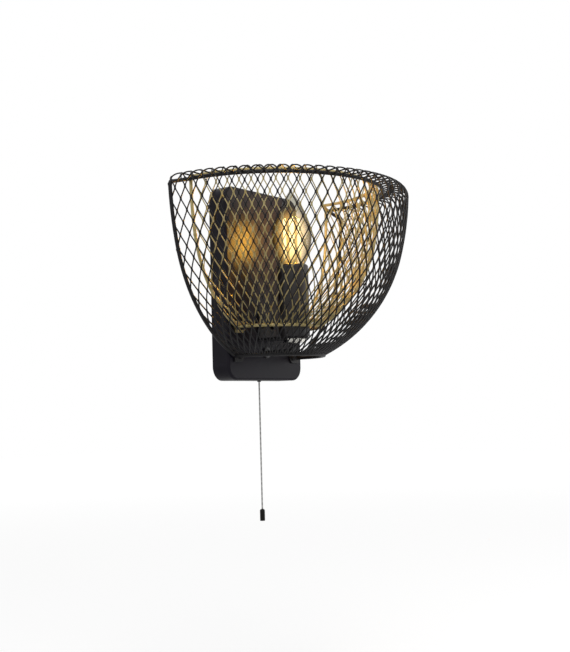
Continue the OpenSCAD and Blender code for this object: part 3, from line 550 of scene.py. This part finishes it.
# %% One node of the mesh, with its four half strands
section = [(-1, 0), (-0.6, 1), (0.6, 1), (1, 0), (0.6, -1), (-0.6, -1)]  # in half widths and half thicknesses
knuckle_half = 0.14  # half a node's length, in rows
knuckle_wide = 1.5  # half a node's width, in half widths of a strand
knuckle_slope = 0.4  # how far a node's faces draw in, likewise
arm_rings = 3
arm_across, arm_down = 0.25, 0.5  # where a half strand ends, in columns and rows


def mesh_node(name, strand_w, strand_t):
    """Vertices hold a place in the grid (across, down) and an offset in metres (side, out)."""
    w, t = strand_w / 2, strand_t / 2
    shape = bmesh.new()
    layers = {key: shape.verts.layers.float.new(key) for key in ("across", "down", "side", "out")}
    arm = shape.faces.layers.float.new("arm")
    tail = shape.faces.layers.float.new("tail")

    def vert(across, down, side, out):
        made = shape.verts.new((across, down, side))
        for key, value in zip(("across", "down", "side", "out"), (across, down, side, out)):
            made[layers[key]] = value
        return made

    def face(corners, arm_side=0, tail_side=0):
        made = shape.faces.new(corners)
        made[arm] = arm_side
        made[tail] = tail_side

    wide, top = knuckle_wide, knuckle_wide - knuckle_slope
    waist = {(x, y): vert(0, 0, x * w, y * t) for x, y in
             [(-wide, 0), (-top, 1), (0, 1), (top, 1), (wide, 0), (top, -1), (0, -1), (-top, -1)]}
    for down in (-1, 1):
        root = vert(0, down * knuckle_half, 0, 0)
        for side in (-1, 1):
            ring = []
            for x, y in section:
                at = side * (1 - x)
                ring.append(root if x == 1 and y == 0 else vert(0, down * knuckle_half, at * w, y * t))
            outer, top_out, top_in, _inner, low_in, low_out = ring
            for y, near, far in ((1, top_in, top_out), (-1, low_in, low_out)):
                face([waist[(0, y)], root, near])
                face([waist[(0, y)], near, far, waist[(side * top, y)]])
                face([waist[(side * top, y)], far, outer, waist[(side * wide, 0)]])
            last = ring
            for i in range(1, arm_rings + 1):
                f = i / arm_rings
                across = side * f * arm_across
                below = down * (knuckle_half + f * (arm_down - knuckle_half))
                here = [vert(across, below, side * ((1 - x) * (1 - f) - x * f) * w, y * t)
                        for x, y in section]
                for j in range(len(section)):
                    k = (j + 1) % len(section)
                    face([last[j], last[k], here[k], here[j]], side, down)
                last = here
    mesh = bpy.data.meshes.new(name)
    shape.to_mesh(mesh)
    shape.free()
    print(name, len(mesh.polygons), "faces")
    return mesh


# %% [markdown]
# The bowl's profile is a curve in the plane of radius and height: the rim, the bend and two long arcs. The
# outer sheet rises a little from its ring before it rolls over into the wall, so its strands stand as a row
# of loops along the rim. The tree samples the curve at a distance, which gives a place and a direction, and
# turns that round the bowl's axis. A spare straight bit at both ends carries the nodes' own length.

# %% The profiles
profile_step = 0.25 * MM
spare = 3 * MM


def bend(radius, turn):
    """A stretch with a given radius and turn in degrees."""
    return radius * math.radians(turn), turn


def arc(radius, length):
    """A stretch with a given radius and length."""
    return length, math.degrees(length / radius)


def profile_curve(name, start, stretches):
    """Curve of stretches (length, turn in degrees) from a start (radius, height, heading in degrees)."""
    heading = math.radians(start[2])
    r, z = start[0] - spare * math.cos(heading), start[1] - spare * math.sin(heading)
    line = [(r, 0, z)]
    for length, turn in [(spare, 0), *stretches, (spare, 0)]:
        parts = max(1, round(length / profile_step))
        for _ in range(parts):
            way = heading - math.radians(turn) / parts / 2
            r += length / parts * math.cos(way)
            z += length / parts * math.sin(way)
            heading -= math.radians(turn) / parts
            line.append((r, 0, z))
    data = bpy.data.curves.new(name, "CURVE")
    data.dimensions = "3D"
    spline = data.splines.new("POLY")
    spline.points.add(len(line) - 1)
    for point, co in zip(spline.points, line):
        point.co = (*co, 1)
    return into_scene(name, data)


outer_start = (102.529 * MM, 80.6 * MM, 10)
outer_stretches = [
    (11.57 * MM, 0), bend(9.277 * MM, 103.2), arc(256 * MM, 53 * MM), arc(131 * MM, 112.81 * MM),
]
inner_start = (94.079 * MM, 84.6 * MM, 0)
inner_stretches = [
    (0.4 * MM, 0), bend(4.5 * MM, 90), arc(248 * MM, 45 * MM), arc(109 * MM, 92.155 * MM),
]
outer_l = sum(length for length, _turn in outer_stretches)
inner_l = sum(length for length, _turn in inner_stretches)
print("profiles in mm", round(outer_l / MM, 1), round(inner_l / MM, 1))


# %% [markdown]
# The tree starts with its named inputs and a flat grid of points, on which it stands the node. The points
# come in one long row, so their index tells the row and the column. Every other row is shifted by half a
# column and has one node fewer, and its spare point goes.

# %% The tree: inputs and grid
MATH = "ShaderNodeMath"
FLAG = "FunctionNodeBooleanMath"
QUARTER = 0.25  # tells apart places in the grid, which lie half a column from each other
HALF = 0.5
weld_gap = 0.01 * MM

mesh_tree = bpy.data.node_groups.new("expanded metal on a bowl", "GeometryNodeTree")
for name, kind in (("Cell", "Geometry"), ("Profile", "Object"), ("Columns", "Int"), ("Rows", "Int"),
                   ("First row", "Float"), ("Row step", "Float"), ("Axis", "Float"), ("Cut plane", "Float"),
                   ("Finish", "Material")):
    mesh_tree.interface.new_socket(name, in_out="INPUT", socket_type="NodeSocket" + kind)
mesh_tree.interface.new_socket("Geometry", in_out="OUTPUT", socket_type="NodeSocketGeometry")
step = functools.partial(add, mesh_tree)
given = step("NodeGroupInput").outputs
stored = {name: step("GeometryNodeInputNamedAttribute", name, data_type="FLOAT") for name in
          ("node_row", "node_column", "across", "down", "side", "out", "arm", "tail")}

in_row = step(MATH, given["Columns"], 1, operation="ADD")
points = step("GeometryNodePoints", step(MATH, in_row, given["Rows"], operation="MULTIPLY"))
index = step("GeometryNodeInputIndex")
row = step(MATH, step(MATH, index, HALF, operation="ADD"), in_row, operation="DIVIDE")
row = step(MATH, row, operation="FLOOR")
column = step(MATH, index, step(MATH, row, in_row, operation="MULTIPLY"), operation="SUBTRACT")
odd = step(MATH, row, 2, operation="MODULO")
column = step(MATH, column, step(MATH, odd, HALF, operation="MULTIPLY"), operation="ADD")
for name, value in (("node_row", row), ("node_column", column)):
    points = step("GeometryNodeStoreNamedAttribute", {"Geometry": points, "Name": name, "Value": value},
                  data_type="FLOAT", domain="POINT")
last_column = step(MATH, given["Columns"], QUARTER, operation="ADD")
past = step(MATH, stored["node_column"], last_column, operation="GREATER_THAN")
points = step("GeometryNodeDeleteGeometry", points, past, domain="POINT")
nodes = step("GeometryNodeInstanceOnPoints", {"Points": points, "Instance": given["Cell"]})
sheet = step("GeometryNodeRealizeInstances", nodes)
print("nodes in the tree so far", len(mesh_tree.nodes))


# %% [markdown]
# A node at the edge of the sheet would reach past it with half of its strands. Each face of a strand knows
# whether it is on the left or right arm and above or below, so those that would leave the sheet at its
# left, right and lower edges can go. At the top the strands stay: they end in the rim's row of loops.

# %% The tree: the sheet's edges
left = step(FLAG, step(MATH, stored["arm"], -HALF, operation="LESS_THAN"),
            step(MATH, stored["node_column"], QUARTER, operation="LESS_THAN"), operation="AND")
last_column = step(MATH, given["Columns"], QUARTER, operation="SUBTRACT")
right_side = step(FLAG, step(MATH, stored["arm"], HALF, operation="GREATER_THAN"),
                  step(MATH, stored["node_column"], last_column, operation="GREATER_THAN"), operation="AND")
last_row = step(MATH, given["Rows"], 1 + HALF, operation="SUBTRACT")
below = step(FLAG, step(MATH, stored["tail"], HALF, operation="GREATER_THAN"),
             step(MATH, stored["node_row"], last_row, operation="GREATER_THAN"), operation="AND")
gone = step(FLAG, step(FLAG, left, right_side, operation="OR"), below, operation="OR")
sheet = step("GeometryNodeDeleteGeometry", sheet, gone, domain="FACE")
print("nodes in the tree so far", len(mesh_tree.nodes))


# %% [markdown]
# Now the flat sheet is bent. A vertex's row gives a distance down the profile, and the profile gives radius
# and height there. Its column gives the angle round the bowl, between the two edges where the side wires
# stand, so each row has as many nodes as the next and the diamonds grow narrower towards the bottom. The
# vertex's own offsets go along the bowl's skin and straight out from it. The copies are welded, and the
# finish set.

# %% The tree: bending it on to the bowl
down = step(MATH, stored["node_row"], stored["down"], operation="ADD")
distance = step(MATH, down, given["Row step"], given["First row"], operation="MULTIPLY_ADD")
line = step("GeometryNodeObjectInfo", given["Profile"]).outputs["Geometry"]
sample = step("GeometryNodeSampleCurve", {"Curves": line, "Length": distance},
              mode="LENGTH", data_type="FLOAT")
here = step("ShaderNodeSeparateXYZ", sample.outputs["Position"]).outputs
way = step("ShaderNodeSeparateXYZ", sample.outputs["Tangent"]).outputs

cut_share = step(MATH, given["Cut plane"], here["X"], operation="DIVIDE")
reach = step(MATH, step(MATH, cut_share, operation="ARCSINE"), math.pi / 2, operation="ADD")
across = step(MATH, stored["node_column"], stored["across"], operation="ADD")
across = step(MATH, across, given["Columns"], operation="DIVIDE")
angle = step(MATH, step(MATH, across, 2, -1, operation="MULTIPLY_ADD"), reach, operation="MULTIPLY")
sine, cosine = step(MATH, angle, operation="SINE"), step(MATH, angle, operation="COSINE")

radius = step(MATH, stored["out"], way["Z"], operation="MULTIPLY")
radius = step(MATH, here["X"], radius, operation="SUBTRACT")
height = step(MATH, stored["out"], way["X"], here["Z"], operation="MULTIPLY_ADD")
x = step(MATH, step(MATH, radius, sine, operation="MULTIPLY"),
         step(MATH, stored["side"], cosine, operation="MULTIPLY"), operation="ADD")
y = step(MATH, step(MATH, stored["side"], sine, operation="MULTIPLY"),
         step(MATH, radius, cosine, operation="MULTIPLY"), operation="SUBTRACT")
y = step(MATH, y, given["Axis"], operation="ADD")
bowl = step("GeometryNodeSetPosition", {
    "Geometry": sheet, "Position": step("ShaderNodeCombineXYZ", x, y, height)})
bowl = step("GeometryNodeMergeByDistance", {"Geometry": bowl, "Distance": weld_gap})
bowl = step("GeometryNodeSetMaterial", {"Geometry": bowl, "Material": given["Finish"]})
step("NodeGroupOutput", bowl)
print("nodes in the whole tree", len(mesh_tree.nodes))


# %% [markdown]
# The tree runs on the single node as a modifier, once for each bowl. Its result is taken as a plain mesh,
# and the strands that were cut at the sheet's edges get caps, so that the skin is closed.

# %% Running the tree
cap_sides = 8  # the most that a cap may have: a cut strand has six


def run_tree(name, mesh, tree, values):
    """Runs a tree on a mesh and gives the plain mesh that comes out."""
    worker = into_scene(name + "_worker", mesh)
    modifier = worker.modifiers.new("nodes", "NODES")
    modifier.node_group = tree
    sockets = {s.name: s.identifier for s in tree.interface.items_tree if s.in_out == "INPUT"}
    for key, value in values.items():
        modifier[sockets[key]] = value
    graph = bpy.context.evaluated_depsgraph_get()
    made = bpy.data.meshes.new_from_object(worker.evaluated_get(graph))
    worker.modifiers.remove(modifier)
    bpy.data.objects.remove(worker)
    return made


def closed(mesh, name):
    """Caps the cut strands, turns all faces outwards and says whether the skin is closed."""
    shape = bmesh.new()
    shape.from_mesh(mesh)
    rims = [e for e in shape.edges if len(e.link_faces) == 1]
    bmesh.ops.holes_fill(shape, edges=rims, sides=cap_sides)
    bmesh.ops.recalc_face_normals(shape, faces=shape.faces)
    soften(shape)
    open_edges = sum(len(e.link_faces) != 2 for e in shape.edges)
    shape.to_mesh(mesh)
    shape.free()
    mesh.name = name
    print(name, "open edges", open_edges, "triangles", sum(len(p.vertices) - 2 for p in mesh.polygons))
    return mesh


print("inputs", [s.name for s in mesh_tree.interface.items_tree if s.in_out == "INPUT"])


# %% [markdown]
# The photographed sheets were counted: 39 columns and 21 rows outside, 32 and 15 inside. The last row of
# nodes stands just short of the profile's end, on the bottom ring.

# %% The two bowls
bowl_axis_y = -23.5 * MM
wire_plane_y = middle("outer_side_wires").y
end_gap = 0.3 * MM


def expanded_bowl(name, start, stretches, strand_w, strand_t, columns, rows, first_row, finish):
    """One bowl of expanded metal, with its first row of nodes at a given distance down the profile."""
    profile = profile_curve(name + "_profile", start, stretches)
    last_row = sum(length for length, _turn in stretches) - end_gap
    made = run_tree(name, mesh_node(name + "_node", strand_w, strand_t), mesh_tree, {
        "Profile": profile, "Columns": columns, "Rows": rows, "First row": first_row + spare,
        "Row step": (last_row - first_row) / (rows - 1), "Axis": bowl_axis_y,
        "Cut plane": wire_plane_y - bowl_axis_y, "Finish": finish,
    })
    bpy.data.objects.remove(profile)
    return closed(made, name)


outer_bowl = expanded_bowl("outer_mesh_fine", outer_start, outer_stretches, strand_w=1.1 * MM,
                           strand_t=1.1 * MM, columns=39, rows=21, first_row=3.0 * MM, finish=black_wire)
finished("outer_mesh_fine", outer_bowl, black_wire, "root", "outer_mesh")
inner_bowl = expanded_bowl("inner_mesh_fine", inner_start, inner_stretches, strand_w=1.0 * MM,
                           strand_t=0.95 * MM, columns=32, rows=15, first_row=1.5 * MM, finish=gold)
finished("inner_mesh_fine", inner_bowl, gold, "root", "inner_mesh")


# %% [markdown]
# The four filaments are rods of phosphor with round ends, as long as the model's and a little thicker,
# since the phosphor coats the thin carrier that the model shows.

# %% The filaments
rod_low, rod_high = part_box("filaments")
rod_middle = middle("filaments")
rod_count = 4
first_rod = 45  # degrees
rod_circle_r = 6.3 * MM
rod_r = 1.25 * MM
rod_rounding = 1.0 * MM
rod_sides = 24
rod_outline = rounded([
    (0, rod_low.z, 0), (rod_r, rod_low.z, rod_rounding),
    (rod_r, rod_high.z, rod_rounding), (0, rod_high.z, 0),
])
rods = bmesh.new()
for i in range(rod_count):
    angle = math.radians(first_rod + 360 / rod_count * i)
    rod_centre = rod_middle + rod_circle_r * Vector((math.cos(angle), math.sin(angle), 0))
    rods.from_mesh(lathe("rod", rod_outline, rod_centre, rod_sides))
rod_mesh = bpy.data.meshes.new("filaments_coated")
rods.to_mesh(rod_mesh)
rods.free()
finished("filaments_coated", rod_mesh, phosphor, "root", "filaments")


# %% [markdown]
# Every piece that the model already has in its true shape keeps that shape and only gets its finish.

# %% Finishes of the carried-over pieces
finishes = {
    black_plate: ["cover"],
    black_wire: ["outer_top_ring", "outer_side_wires", "outer_bottom_ring", "lamp_arm", "arm_screws",
                 "shade_screws", "cover_screws"],
    gold: ["inner_top_ring", "inner_side_wires", "inner_bottom_ring"],
    zinc: ["wall_bracket", "shade_nuts", "arm_nuts"],
    brass: ["earth_screw", "terminal_screws", "holder_shell", "holder_contact", "switch_contacts"],
    nickel: ["bulb_cap", "nipple", "nipple_nut"],
    phenolic: ["holder_sleeve", "holder_body", "lead_grommet", "cord_bush", "bulb_insulator"],
    nylon: ["terminal_block", "switch_case", "switch_lid", "switch_ratchet"],
    red_acetal: ["switch_slider"],
    sheath: ["holder_lead", "switch_leads"],
    grey_nylon: ["cord_tail"],
    glass: ["bulb_glass"],
    stem_glass: ["bulb_stem"],
}
for finish, names in finishes.items():
    for name in names:
        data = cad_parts[name].data
        data.materials.clear()
        data.materials.append(finish)
print("pieces with a finish", sum(len(names) for names in finishes.values()))


# %% [markdown]
# The room's share of the filaments' amber light comes from three small round lamps inside the bulb, a few
# millimetres to the side of its axis, which the camera doesn't see. The rods themselves can then stay pale
# and dim enough for their edges to render smoothly.
#
# The lamp hangs in an even white space, as in a photographer's tent. The world gives most of the light, and
# two large soft lamps add the direction that lets round wires show their form.

# %% Lamps
bulb_lamps = 3
bulb_lamp_power = 0.31
bulb_lamp_r = 7 * MM
bulb_lamp_place = Vector((5 * MM, 4 * MM, 13 * MM))  # from the rods' middle and lower end
bulb_lamp_gap = 10 * MM
aim = Vector((0, -0.05, 0))


def lamp(name, kind, place, power, colour="#ffffff"):
    """A lamp of a kind at a place."""
    light = bpy.data.lights.new(name, kind)
    light.energy = power
    light.color = linear(colour)[:3]
    made = into_scene(name, light)
    made.location = place
    return made


for i in range(bulb_lamps):
    place = (rod_middle.x + bulb_lamp_place.x, rod_middle.y + bulb_lamp_place.y,
             rod_low.z + bulb_lamp_place.z + bulb_lamp_gap * i)
    amber = lamp(f"bulb lamp {i + 1}", "POINT", place, bulb_lamp_power, "#ffbb48")
    amber.data.shadow_soft_size = bulb_lamp_r
for name, place, size, power in (("window lamp", (-1.3, -1.2, 1.2), 1.0, 14),
                                 ("fill lamp", (1.4, -1.4, 0.4), 1.2, 6)):
    soft = lamp(name, "AREA", place, power)
    soft.data.shape = "DISK"
    soft.data.size = size
    soft.rotation_mode = "QUATERNION"
    soft.rotation_quaternion = (aim - Vector(place)).to_track_quat("-Z", "Y")


# %% [markdown]
# The world is white where the camera, a mirror or glass looks at it, and a little dimmer as a light.

# %% The world
world_light, world_seen = 0.6, 1.0
world = bpy.data.worlds.new("white tent")
bpy.context.scene.world = world
world.use_nodes = True
sky = world.node_tree
sky.nodes.clear()
ray = add(sky, "ShaderNodeLightPath").outputs
mirrored = add(sky, "ShaderNodeMath", ray["Is Glossy Ray"], ray["Is Transmission Ray"], operation="MAXIMUM")
seen = add(sky, "ShaderNodeMath", ray["Is Camera Ray"], mirrored, operation="MAXIMUM")
strength = add(sky, "ShaderNodeMapRange", seen, 0.0, 1.0, world_light, world_seen)
add(sky, "ShaderNodeOutputWorld", add(sky, "ShaderNodeBackground", linear("#ffffff"), strength))
print("world", world_light, "as a light,", world_seen, "as seen")


# %% [markdown]
# The floor is matt white card. It keeps the lamp's soft shadow, and to the camera it fades to pure white as
# it runs away, so that no horizon shows.

# %% The floor
floor_half = 6
floor_drop = 0.25
near, far = 0.6, 4.0
lift_near, lift_far = 0.29, 0.44


def card_finish(name):
    """Matt white card with a faint fibre, 2 mm across."""
    material, tree, place = new_finish(name)
    fibre = add(tree, "ShaderNodeTexNoise", {"Vector": place, "Scale": 1 / (2 * MM), "Detail": 2})
    card = add(tree, "ShaderNodeBsdfDiffuse",
               add(tree, "ShaderNodeValToRGB", fibre, stops=[(0.0, "#f6f6f6"), (1.0, "#fbfbfb")]))
    away = add(tree, "ShaderNodeVectorMath", place, operation="LENGTH").outputs["Value"]
    lift = add(tree, "ShaderNodeMapRange", away, near, far, lift_near, lift_far)
    lit = add(tree, "ShaderNodeAddShader", card, add(tree, "ShaderNodeEmission", linear("#ffffff"), lift))
    to_camera = add(tree, "ShaderNodeLightPath").outputs["Is Camera Ray"]
    add(tree, "ShaderNodeOutputMaterial", add(tree, "ShaderNodeMixShader", to_camera, card, lit))
    print("finish:", name)
    return material


floor_z = cad_low.z - floor_drop
corners = [(x * floor_half, y * floor_half, floor_z) for x, y in ((-1, -1), (1, -1), (1, 1), (-1, 1))]
floor = into_scene("floor", mesh_of("floor", corners, [(0, 1, 2, 3)]))
floor.data.materials.append(card_finish("white card"))

bpy.context.scene.view_settings.view_transform = "Standard"
